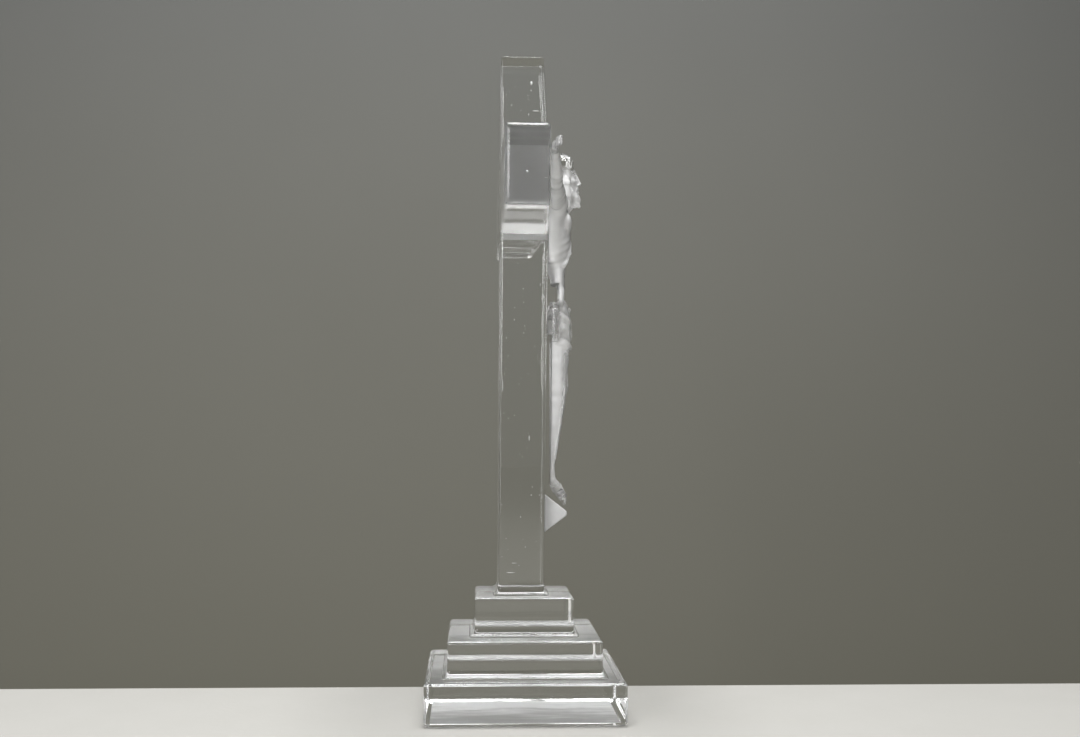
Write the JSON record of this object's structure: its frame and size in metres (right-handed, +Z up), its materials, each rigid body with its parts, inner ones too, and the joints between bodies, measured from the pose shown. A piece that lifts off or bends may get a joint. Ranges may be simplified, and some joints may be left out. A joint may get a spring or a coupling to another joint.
{
  "type": "standing crucifix",
  "caption": "Clear crystal crucifix: a flat-backed cross bonded to a stepped square base, with a satin glass corpus and footrest on its front.",
  "frame": {"origin": "centre of the underside of the square base", "axes": "+Z up along the upright, X along the two arms, -Y towards the side that carries the corpus; the figure's right arm points to -X"},
  "size_m": [0.196, 0.094, 0.32],
  "materials": {
    "clear_glass": "polished clear lead crystal",
    "satin_glass": "acid-etched satin glass",
    "bond": "cured clear adhesive"
  },
  "bodies": {
    "root": {"base_lower_tier": "clear_glass", "base_middle_tier": "clear_glass", "base_upper_tier": "clear_glass", "bond_middle_tier": "bond", "bond_upper_tier": "bond", "bond_upright": "bond", "upright": "clear_glass", "arm_right": "clear_glass", "arm_left": "clear_glass", "bond_arm_right": "bond", "bond_arm_left": "bond", "corpus": "satin_glass", "bond_torso": "bond", "bond_hand_right": "bond", "bond_hand_left": "bond", "footrest": "satin_glass", "bond_footrest": "bond"}
  },
  "joints": []
}
